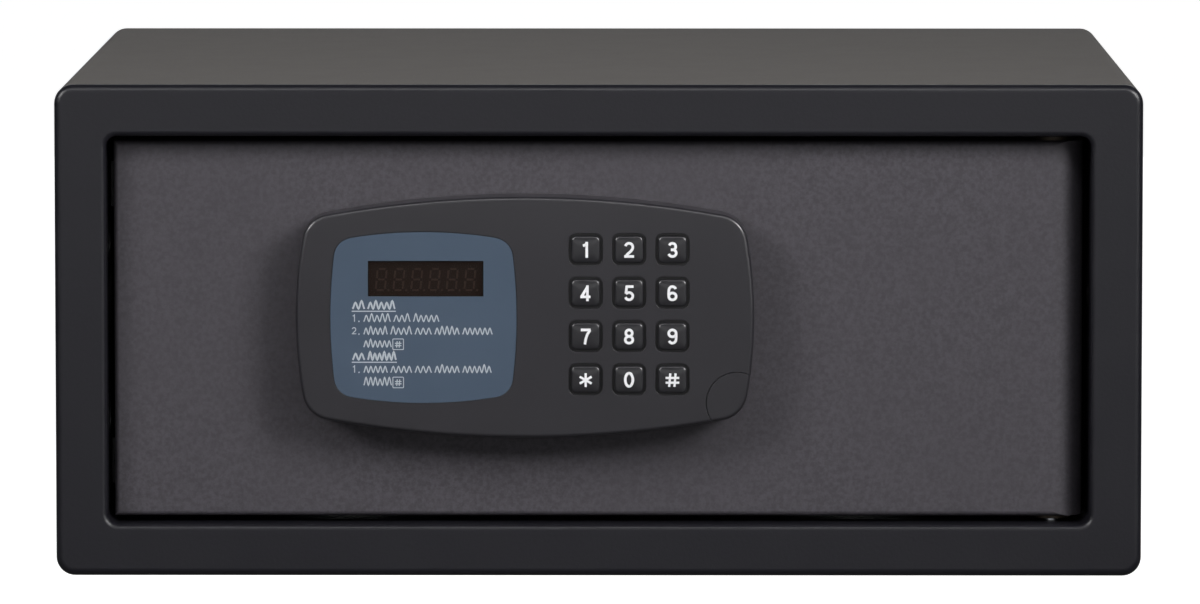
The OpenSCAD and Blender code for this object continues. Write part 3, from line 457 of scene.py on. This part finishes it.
MATERIALS = {
    # The cabinet's paint is about ten times lighter than the frame's, though both are likely one paint: in part
    # painted light, for the top face's brightness under the lamps.
    "cabinet_paint": powder_coat("cabinet_paint", (0.083, 0.0757, 0.0698), 0.76, 1500.0, 0.12, 0.03,
                                 relief=0.4),
    "frame_paint": powder_coat("frame_paint", (0.0074, 0.0071, 0.0106), 0.36, 1100.0, 0.1, relief=0.6),
    "door_paint": powder_coat("door_paint", (0.0455, 0.041, 0.0492), 0.66, 620.0, 0.24, 0.08),
    "cover_paint": powder_coat("cover_paint", (0.045, 0.045, 0.049), 0.55, 900.0, 0.1),
    "carpet": carpet("carpet"),
    "zinc_steel": plated("zinc_steel", (0.58, 0.6, 0.63), 0.34),
    "yellow_zinc": plated("yellow_zinc", (0.66, 0.55, 0.28), 0.36, cloud=0.2),
    "bolt_chrome": plated("bolt_chrome", (0.72, 0.72, 0.74), 0.16, (900.0, 60.0, 60.0), 0.04),
    # The bronze bushes get a near-black tone, which is painted shade: far darker than bronze, so that they sink
    # into the shade of the hinge gap.
    "bronze": plated("bronze", (0.075, 0.062, 0.05), 0.6, (300.0, 300.0, 300.0), 0.18),
    "brass_plug": plated("brass_plug", (0.72, 0.55, 0.26), 0.27, (400.0, 60.0, 400.0), 0.08),
    "black_rubber": moulded("black_rubber", (0.022, 0.022, 0.022), 0.82, 1200.0, 0.00004),
    "white_nylon": moulded("white_nylon", (0.68, 0.67, 0.6), 0.42, 900.0, 0.00001, Subsurface_Weight=0.08),
    "black_plastic": moulded("black_plastic", (0.028, 0.028, 0.03), 0.5),
    "lid_plastic": moulded("lid_plastic", (0.036, 0.036, 0.038), 0.55, 1300.0, 0.00004),
    "panel_plastic": moulded("panel_plastic", (0.0162, 0.0151, 0.0188), 0.4, 2000.0, 0.00001,
                             Coat_Weight=0.5, Coat_Roughness=0.1),
    "key_plastic": moulded("key_plastic", (0.0125, 0.0121, 0.0145), 0.34, 2200.0, 0.000008,
                           Coat_Weight=0.4, Coat_Roughness=0.15),
    "label_blue": label_film("label_blue"),
    "smoked_window": smoked("smoked_window"),
    "display_face": moulded("display_face", (0.02, 0.013, 0.011), 0.55),
    "circuit_board": circuit("circuit_board"),
    "battery_wrap": sleeve("battery_wrap"),
    "grey_silicone": moulded("grey_silicone", (0.17, 0.17, 0.18), 0.6, 700.0, 0.00001,
                             Subsurface_Weight=0.05),
    "red_wire": moulded("red_wire", (0.42, 0.02, 0.02), 0.4, 600.0, 0.00001),
    "grey_ribbon": moulded("grey_ribbon", (0.36, 0.36, 0.38), 0.46, 500.0, 0.00002),
}
LEGEND = ink("legend_white", (0.83, 0.83, 0.85))
PRINT = ink("label_print", (0.42, 0.46, 0.5))
SEGMENT = ink("segment_diffuser", (0.19, 0.13, 0.11), 0.6)

for node, slot_name in SLOT_OF.items():
    coat(NODES[node], MATERIALS[slot_name])


# ---------- control panel ----------

def panel_outline(inset=0.0):
    return bowed(PANEL, PANEL_SIZE, PANEL_ARCS, inset)


def label_outline(grow=0.0):
    return bowed(LABEL, LABEL_SIZE, LABEL_ARCS, -grow, (8, 12, 12))


def edge_rings(outline, front, r, steps=8):
    """Rings of a rounded front edge, from its tangent on the side to the face."""
    return [(outline(r * (1 - math.cos(a))), front + r * (1 - math.sin(a)))
            for a in (math.pi / 2 * k / steps for k in range(steps + 1))]


def panel_solid(name, back):
    return loft(name, [(panel_outline(), back)] + edge_rings(panel_outline, PANEL_D0, PANEL_EDGE))


def housing():
    """Hollow moulding with screw bosses, a pocket for the cap, and openings for keys, label and window."""
    inside = PANEL_D0 + PANEL_WALL
    body = panel_solid("panel_housing_moulding", PANEL_D1)
    combine(body, prism("cavity", panel_outline(PANEL_WALL), inside, PANEL_D1 + 2), "DIFFERENCE")
    combine(body, joined("bosses", [prism("boss", circle(p, BOSS_R, 24), inside - 0.5, PANEL_D1)
                                    for p in BOSSES]), "UNION")
    cup = prism("cup", circle(CAP, CAP_R + CUP_WALL, 64), inside - 0.5, CAP_FLOOR[1])
    combine(cup, prism("trim", panel_outline(0.6), inside - 3, CAP_FLOOR[1] + 3), "INTERSECT")
    combine(body, cup, "UNION")
    mouths = [flared("mouth", lambda g, c=middle(k): rounded(
        c, (KEY_SIZE[0] + 2 * (KEY_GAP + g), KEY_SIZE[1] + 2 * (KEY_GAP + g)), KEY_R + KEY_GAP + g),
        PANEL_D0, inside + 0.1, 0.3) for k in KEYS]
    mouths.append(flared("recess", lambda g: label_outline(0.2 + g), PANEL_D0, LABEL_D1, 0.12))
    mouths.append(flared("pocket", lambda g: circle(CAP, CAP_R + g, 96), PANEL_D0, CAP_FLOOR[0], 0.12))
    combine(body, joined("mouths", mouths), "DIFFERENCE")
    holes = [prism("hole", circle(CAP, PIVOT_R + 0.02, 24), CAP_FLOOR[0] - 1, CAP_FLOOR[1] + 1),
             prism("hole", circle(LOCK, PLUG_R + 0.1, 40), CAP_FLOOR[0] - 1, CAP_FLOOR[1] + 1),
             prism("hole", rounded(WINDOW, (WINDOW_SIZE[0] + 0.6, WINDOW_SIZE[1] + 0.6), 0.3, 2),
                   PANEL_D0 - 1, inside + 1)]
    holes += [prism("hole", circle(p, SCREW_R, 20), -3, PANEL_D1 + 1) for p in BOSSES]
    combine(body, joined("holes", holes), "DIFFERENCE")
    stand_in(smooth(body), "panel_housing")


def cap():
    """Swivel cap: the panel's corner within a disc, with the pivot's hole."""
    body = panel_solid("corner_cap_moulding", PANEL_D0 + CAP_T)
    eased = [(0, CAP_T), (0, 0.15), (0.05, 0.05), (0.15, 0), (0.15, -1)]   # (inwards, depth)
    disc = loft("disc", [(circle(CAP, CAP_R - CAP_GAP - pull, 96), PANEL_D0 + d) for pull, d in eased])
    combine(body, disc, "INTERSECT")
    hole = prism("hole", circle(CAP, PIVOT_R + 0.05, 24), PANEL_D0 + 1, PANEL_D0 + CAP_T + 1)
    combine(body, hole, "DIFFERENCE")
    stand_in(smooth(body), "corner_cap")


def label():
    """Thin bowed plate with the window's opening."""
    body = loft("label_film", [(label_outline(), LABEL_D1), (label_outline(), LABEL_D0 + 0.08),
                               (label_outline(-0.03), LABEL_D0 + 0.02), (label_outline(-0.1), LABEL_D0)])
    combine(body, prism("hole", rounded(WINDOW, WINDOW_SIZE, 0.15, 2), PANEL_D0 - 2, PANEL_D0 + 3),
            "DIFFERENCE")
    stand_in(smooth(body), "label_plate")


def window():
    """Lens that fills the label's opening, on a wider flange."""
    lo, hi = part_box("display_window")
    d0, d1 = depth_of(lo.y), depth_of(hi.y)

    def ring(grow, r, d):
        return rounded(WINDOW, (WINDOW_SIZE[0] + grow, WINDOW_SIZE[1] + grow), r, 2), d

    rings = [ring(4.4, 0.5, d1), ring(4.4, 0.5, d1 - 1), ring(0.2, 0.3, d1 - 1), ring(0.2, 0.3, d0 + 0.2),
             ring(-0.2, 0.2, d0)]
    stand_in(smooth(loft("display_lens", rings)), "display_window")


# ---------- strokes: legends, printed lines and display segments ----------

def ribbon(points, width, closed=False):
    """Shapes of a stroke along points, with mitred bends and square ends."""
    n = len(points)
    left, right = [], []
    for i, p in enumerate(points):
        a = points[(i - 1) % n] if closed or i else None
        b = points[(i + 1) % n] if closed or i < n - 1 else None
        ways = []
        for q, r in ((a, p), (p, b)):
            if q is not None and r is not None:
                v = Vector((r[0] - q[0], r[1] - q[1])).normalized()
                ways.append(Vector((-v.y, v.x)))
        side = (ways[0] + ways[-1]).normalized()
        reach = width / 2 / max(0.5, side.dot(ways[0]))
        left.append((p[0] + side.x * reach, p[1] + side.y * reach))
        right.append((p[0] - side.x * reach, p[1] - side.y * reach))
    if closed:
        return [[left[i], right[i], right[(i + 1) % n], left[(i + 1) % n]] for i in range(n)]
    return [right + left[::-1]]


def inlay(name, shapes, front, back):
    """Thin closed solid over the union of 2D shapes, between two depths."""
    verts, faces = [], []
    for shape in shapes:
        faces.append(list(range(len(verts), len(verts) + len(shape))))
        verts += [Vector(p) for p in shape]
    out, _, tris, _, _, inside = delaunay_2d_cdt(verts, [], faces, 1, 1e-5)
    bm = bmesh.new()
    top = [bm.verts.new(at(p, front)) for p in out]
    made = [bm.faces.new([top[i] for i in t]) for t, source in zip(tris, inside) if source]
    bm.normal_update()
    thick = bmesh.ops.extrude_face_region(bm, geom=made)
    moved = [g for g in thick["geom"] if isinstance(g, bmesh.types.BMVert)]
    bmesh.ops.translate(bm, verts=moved, vec=(0, (back - front) * MM, 0))
    bmesh.ops.delete(bm, geom=[v for v in bm.verts if not v.link_faces], context="VERTS")
    bmesh.ops.recalc_face_normals(bm, faces=bm.faces)
    return placed(name, bm)


def oval(cx, cz, rx, rz, a0, a1, n=14):
    """Points on an ellipse, for the centre line of a curved stroke."""
    return [(cx + rx * math.cos(math.radians(a0 + (a1 - a0) * i / n)),
             cz + rz * math.sin(math.radians(a0 + (a1 - a0) * i / n))) for i in range(n + 1)]


def ring_of(cx, cz, rx, rz, n=30):
    return oval(cx, cz, rx, rz, 0, 360 - 360 / n, n - 1)


# Centre lines of the legends in a box one unit high with x = 0 in its middle: (points, closed)
GLYPHS = {
    "0": [(ring_of(0, 0.5, 0.235, 0.415), True)],
    "1": [([(0.07, 0), (0.07, 1)], False),
          ([(-0.17, 0.76), (-0.05, 0.79), (0.03, 0.85), (0.06, 0.97)], False)],
    "2": [(oval(0, 0.665, 0.235, 0.25, 165, -28) + [(0.1, 0.4), (-0.1, 0.23), (-0.22, 0.05)], False),
          ([(-0.3, 0.085), (0.31, 0.085)], False)],
    "3": [(oval(-0.005, 0.705, 0.205, 0.21, 160, -75) + [(-0.1, 0.5)], False),
          ([(-0.1, 0.51)] + oval(0, 0.3, 0.235, 0.215, 72, -165), False)],
    "4": [([(0.11, 0), (0.11, 0.99)], False), ([(0.13, 0.93), (-0.25, 0.29)], False),
          ([(-0.33, 0.27), (0.3, 0.27)], False)],
    "5": [([(0.28, 0.915), (-0.2, 0.915)], False), ([(-0.14, 0.95), (-0.2, 0.47)], False),
          ([(-0.2, 0.45)] + oval(0, 0.315, 0.235, 0.23, 135, -162), False)],
    "6": [(ring_of(0, 0.3, 0.23, 0.215), True),
          (oval(0, 0.66, 0.225, 0.255, 25, 172) + [(-0.235, 0.5), (-0.23, 0.3)], False)],
    "7": [([(-0.3, 0.915), (0.31, 0.915)], False),
          ([(0.27, 0.9), (0.1, 0.62), (0.0, 0.32), (-0.05, 0)], False)],
    "8": [(ring_of(0, 0.715, 0.2, 0.2), True), (ring_of(0, 0.295, 0.235, 0.21), True)],
    "star": [([(k * 0.43 * math.cos(a), 0.48 + k * 0.43 * math.sin(a)) for k in (1, -1)], False)
             for a in (math.pi / 6, math.pi / 2, math.pi * 5 / 6)],
    "hash": [([(-0.43, 0.62), (0.43, 0.62)], False), ([(-0.43, 0.32), (0.43, 0.32)], False),
             ([(-0.2, 0.06), (-0.13, 0.9)], False), ([(0.13, 0.06), (0.2, 0.9)], False)],
}
GLYPHS["9"] = [([(-x, 1 - z) for x, z in points], closed) for points, closed in GLYPHS["6"]]
# Stroke width over height, of the figures and of the two signs
FIGURE_BOLD, SIGN_BOLD = 0.165, {"star": 0.145, "hash": 0.14}


def glyph(sign, centre, height, weight=1.0):
    """Shapes of one legend, centred on a point; a weight below 1 thins its strokes."""
    shapes = []
    for points, closed in GLYPHS[sign]:
        line = [(centre[0] + x * height, centre[1] + (z - 0.5) * height) for x, z in points]
        shapes += ribbon(line, SIGN_BOLD.get(sign, FIGURE_BOLD) * height * weight, closed)
    return shapes


def key(node):
    """Key cap with a rounded shoulder and a crowned face, and its legend."""
    c = middle(node)
    back, front = PANEL_D0 + PANEL_WALL + 0.2, PANEL_D0 - KEY_PROUD
    w, h = KEY_SIZE

    def ring(pull, r, d):
        return rounded(c, (w - 2 * pull, h - 2 * pull), r, 7), d

    flange = [ring(-KEY_FLANGE, KEY_R + KEY_FLANGE, d) for d in (back + 1, back)]
    shoulder = [ring(0, KEY_R, back), ring(0, KEY_R, front + 1.25)]
    for a in (10, 25, 40, 55, 70):
        s, k = math.sin(math.radians(a)), 1 - math.cos(math.radians(a))
        shoulder.append(ring(0.9 * k, KEY_R - 0.3 * k, front + 0.3 + 0.95 * (1 - s)))
    crown = [ring(1.0, 1.5, front + 0.25), ring(1.9, 1.3, front + 0.12), ring(3.0, 1.0, front + 0.04),
             ring(4.2, 0.7, front)]
    sign = node.split("_")[1]
    stand_in(smooth(loft(node + "_cap", flange + shoulder + crown), 40), node)
    legend = inlay(node + "_legend", glyph(sign, c, LEGEND_H), front - 0.02, front + 0.5)
    printed(legend, BODY_OF[node], LEGEND)


def squiggle(x, z, width, stroke, rng):
    """A stand-in for one printed word: a wavy line, with a taller hump here and there."""
    humps = max(2, round(width / LETTER_W))
    points = []
    for i in range(humps):
        top = LETTER_H * (1.28 if rng.random() < 0.25 else 1.0)
        for k in range(10):
            t = k / 10
            points.append((x + width * (i + t) / humps, z + top * (1 - math.cos(math.tau * t)) / 2))
    return ribbon(points + [(x + width, z)], stroke)


def label_print():
    """The label's lines of text as word-shaped squiggles, with list numbers and the hash key's sign."""
    rng = random.Random(7)
    shapes = []
    rows = [  # left edge, word widths, what the row has besides its words
        (TEXT_LEFT, [4.8, 10.8], "underline"),
        (TEXT_INDENT, [10.6, 6.6, 10.2], "1"),
        (TEXT_INDENT, [9.4, 8.4, 6.6, 9.8, 11.8], "2"),
        (TEXT_INDENT, [11.0], "box"),
        (TEXT_LEFT, [4.8, 11.2], "underline"),
        (TEXT_INDENT, [9.4, 8.4, 6.6, 9.8, 11.4], "1"),
        (TEXT_INDENT, [11.0], "box")]
    for row, (x, words, extra) in enumerate(rows):
        z = LABEL[1] + FIRST_ROW - ROW_PITCH * row
        for w in words:
            shapes += squiggle(x, z, w, HEADING_LINE if extra == "underline" else TEXT_LINE, rng)
            x += w + WORD_GAP
        if extra == "underline":
            shapes += ribbon([(TEXT_LEFT - 0.3, z - 1.0), (x - 0.9, z - 1.0)], UNDERLINE)
        elif extra == "box":
            c = (x + 1.4, z + 1.1)
            shapes += ribbon(rounded(c, (4.2, 4.2), 0.2, 1), BOX_LINE, True)
            shapes += glyph("hash", c, 3.0)
        else:
            shapes += glyph(extra, (TEXT_LEFT + 0.6, z + 1.4), 2.9, 0.72)
            shapes += ribbon([(TEXT_LEFT + 2.3, z + 0.05), (TEXT_LEFT + 2.8, z + 0.05)], 0.5)
    marks = inlay("label_print", shapes, LABEL_D0 - 0.015, LABEL_D0 + 0.1)
    printed(marks, BODY_OF["label_plate"], PRINT)


def display():
    """Six unlit seven-segment figures, seen faintly through the window."""
    front = depth_of(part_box("display_module")[0].y)
    half_w, half_h, end = DIGIT_SIZE[0] / 2, DIGIT_SIZE[1] / 2, 0.5
    segments = [((end - half_w, z), (half_w - end, z)) for z in (-half_h, 0.0, half_h)]
    for x in (-half_w, half_w):
        segments += [((x, end), (x, half_h - end)), ((x, end - half_h), (x, -end))]
    shapes = []
    for k in range(DIGITS):
        cx, cz = FIRST_DIGIT[0] + DIGIT_PITCH * k, FIRST_DIGIT[1]
        for ends in segments:
            shapes += ribbon([(cx + x + DIGIT_LEAN * z, cz + z) for x, z in ends], SEGMENT_W)
        shapes.append(rounded((cx + half_w + DOT_GAP, cz - half_h), (DOT, DOT), 0.3, 2))
    printed(inlay("display_segments", shapes, front - 0.05, front + 0.2), "door", SEGMENT)


# ---------- carpet ----------

def mat():
    """The carpet pad, cut with four round holes, with a soft uneven surface and eased edges."""
    lo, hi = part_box("floor_mat")
    mid_y = sum(corner.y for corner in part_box("cabinet_shell")) / 2
    holes = [(sx * ANCHOR_X, mid_y + sy * ANCHOR_Y) for sx in (-1, 1) for sy in (-1, 1)]
    rng = random.Random(3)
    verts = []
    edges = []

    def loop(points):
        first = len(verts)
        verts.extend(Vector(p) for p in points)
        edges.extend((first + i, first + (i + 1) % len(points)) for i in range(len(points)))

    def side(a, b):
        n = round(math.dist(a, b) / MAT_STEP)
        return [(a[0] + (b[0] - a[0]) * i / n, a[1] + (b[1] - a[1]) * i / n) for i in range(n)]

    corners = [(lo.x, lo.y), (hi.x, lo.y), (hi.x, hi.y), (lo.x, hi.y)]
    loop([p for i in range(4) for p in side(corners[i], corners[(i + 1) % 4])])
    for h in holes:
        loop([(h[0] + MAT_HOLE_R * math.cos(t), h[1] - MAT_HOLE_R * math.sin(t))
              for t in (2 * math.pi * k / 32 for k in range(32))])
    nx, ny = int((hi.x - lo.x) / MAT_STEP), int((hi.y - lo.y) / MAT_STEP)
    for i in range(1, nx):
        for j in range(1, ny):
            p = (lo.x + (hi.x - lo.x) * i / nx + rng.uniform(-1, 1) * MAT_STEP * 0.15,
                 lo.y + (hi.y - lo.y) * j / ny + rng.uniform(-1, 1) * MAT_STEP * 0.15)
            if all(math.dist(p, h) > MAT_HOLE_R + 0.0025 for h in holes):
                verts.append(Vector(p))
    out, _, tris, *_ = delaunay_2d_cdt(verts, edges, [], 0, 1e-6)
    keep = []
    for t in tris:
        mx, my = sum(out[i].x for i in t) / 3, sum(out[i].y for i in t) / 3
        if all(math.dist((mx, my), h) > MAT_HOLE_R for h in holes):
            keep.append(t)
    bm = bmesh.new()
    low = [bm.verts.new((p.x, p.y, lo.z)) for p in out]
    faces = [bm.faces.new([low[i] for i in t]) for t in keep]
    top = bmesh.ops.extrude_face_region(bm, geom=faces)["geom"]
    bmesh.ops.translate(bm, verts=[g for g in top if isinstance(g, bmesh.types.BMVert)],
                        vec=(0, 0, hi.z - lo.z - TUFT))
    bmesh.ops.recalc_face_normals(bm, faces=bm.faces)
    edge = {v for e in bm.edges if e.calc_face_angle(0.0) > 1.0 for v in e.verts}
    for v in bm.verts:
        if v.co.z > lo.z + 0.001 and v not in edge:
            v.co.z += TUFT * rng.random()
    bmesh.ops.delete(bm, geom=[v for v in bm.verts if not v.link_faces], context="VERTS")
    obj = smooth(placed("carpet_mat", bm), 50)
    stand_in(obj, "floor_mat")


housing()
cap()
label()
window()
display()
for name in KEYS:
    key(name)
label_print()
mat()


# ---------- floor, light and camera ----------

def floor():
    bpy.ops.mesh.primitive_plane_add(size=60, location=(0, 0, CAD_BOX[0].z))
    plane = bpy.context.object
    plane.name = "studio_floor"
    n = Nodes("studio_floor")
    n.colour(n.mix(n.remap(n.noise(0.8), 0.3, 0.7), (0.3, 0.3, 0.3), (0.32, 0.32, 0.32)))
    n.set(Roughness=0.9)
    # Bright to the camera, dim in what the safe reflects, as a seamless paper behind black screens
    glow = n.add("ShaderNodeEmission")
    glow.inputs["Color"].default_value = (1, 1, 1, 1)
    glow.inputs["Strength"].default_value = 0.98
    both = n.add("ShaderNodeAddShader")
    n.link(n.bsdf.outputs["BSDF"], both.inputs[0])
    n.link(glow.outputs["Emission"], both.inputs[1])
    dark = n.add("ShaderNodeBsdfDiffuse")
    dark.inputs["Color"].default_value = (0.12, 0.12, 0.12, 1)
    pick = n.add("ShaderNodeMixShader")
    n.link(n.add("ShaderNodeLightPath").outputs["Is Camera Ray"], pick.inputs["Fac"])
    n.link(dark.outputs["BSDF"], pick.inputs[1])
    n.link(both.outputs["Shader"], pick.inputs[2])
    n.link(pick.outputs["Shader"], n.tree.nodes["Material Output"].inputs["Surface"])
    plane.data.materials.append(n.mat)


def sky():
    world = bpy.data.worlds.new("studio")
    bpy.context.scene.world = world
    world.use_nodes = True
    t = world.node_tree
    back = t.nodes["Background"]
    white = t.nodes.new("ShaderNodeBackground")
    white.inputs["Strength"].default_value = 1.0
    back.inputs["Color"].default_value = (0.9, 0.94, 1.0, 1)
    back.inputs["Strength"].default_value = 0.065
    pick = t.nodes.new("ShaderNodeMixShader")
    t.links.new(t.nodes.new("ShaderNodeLightPath").outputs["Is Camera Ray"], pick.inputs["Fac"])
    t.links.new(back.outputs["Background"], pick.inputs[1])
    t.links.new(white.outputs["Background"], pick.inputs[2])
    t.links.new(pick.outputs["Shader"], t.nodes["World Output"].inputs["Surface"])


def softbox(name, azimuth, elevation, distance, size, power, spread=180, aim_z=0.1):
    """Soft light aimed at the front's middle: azimuth 0 is in front, positive to the right."""
    a, e = math.radians(azimuth), math.radians(elevation)
    aim = Vector((0, FACE_Y, aim_z))
    way = Vector((math.sin(a) * math.cos(e), -math.cos(a) * math.cos(e), math.sin(e)))
    data = bpy.data.lights.new(name, "AREA")
    data.shape, data.size, data.size_y, data.energy = "RECTANGLE", size[0], size[1], power
    data.spread = math.radians(spread)
    lamp = bpy.data.objects.new(name, data)
    bpy.context.scene.collection.objects.link(lamp)
    lamp.location = aim + way * distance
    lamp.rotation_euler = (-way).to_track_quat("-Z", "Y").to_euler()
    lamp.visible_camera = False


def camera():
    data = bpy.data.cameras.new("camera")
    data.lens, data.sensor_width = FOCAL_MM, 36.0
    data.clip_start, data.clip_end = 0.1, 100.0
    cam = bpy.data.objects.new("camera", data)
    bpy.context.scene.collection.objects.link(cam)
    cam.location = CAMERA_AT
    cam.rotation_euler = (Vector(CAMERA_AIM) - cam.location).to_track_quat("-Z", "Y").to_euler()
    bpy.context.scene.camera = cam


floor()
sky()
# Narrow beams, aimed high, so that the two main lights fall on the front and little on the floor
softbox("key_right", 46, 25, 2.3, (1.1, 1.0), 3.95, spread=42, aim_z=0.3)
softbox("key_left", -50, 25, 2.3, (0.9, 0.9), 2.3, spread=42, aim_z=0.3)
softbox("strip_above", 0, 52, 0.85, (0.9, 0.17), 2.0)
softbox("low_card", 0, 3, 2.0, (3.0, 0.4), 4.4)
softbox("edge_right", 48, 2, 2.3, (0.12, 1.6), 4.0)
softbox("backdrop", 180, 5, 2.2, (4.0, 0.9), 12.5)
camera()
bpy.context.scene.view_settings.view_transform = "Standard"
